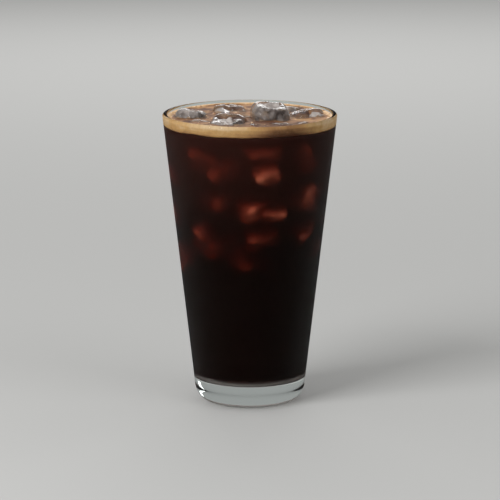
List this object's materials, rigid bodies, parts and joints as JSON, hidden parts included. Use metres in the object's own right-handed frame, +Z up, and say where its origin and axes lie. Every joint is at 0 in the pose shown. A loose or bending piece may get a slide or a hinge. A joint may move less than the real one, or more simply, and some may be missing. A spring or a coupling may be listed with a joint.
{
  "type": "iced americano",
  "caption": "Tall tapered glass filled almost to the rim with iced black coffee, with a layer of crema on top and ice cubes breaking the surface.",
  "frame": {"origin": "centre of the glass's foot, on the plane that it stands on", "axes": "+Z up along the glass's axis, -Y towards the front, +X to the right as seen from the front"},
  "size_m": [0.0888, 0.0887, 0.1556],
  "materials": {
    "glass": "clear, fire-polished",
    "coffee": "clear dark brown liquid",
    "crema": "fine foam",
    "ice": "melting, wet"
  },
  "bodies": {
    "root": {"glass": "glass", "coffee": "coffee", "crema": "crema", "ice_left": "ice", "ice_front_left": "ice", "ice_centre": "ice", "ice_right": "ice", "ice_back_left": "ice", "ice_back_right": "ice"}
  },
  "joints": []
}
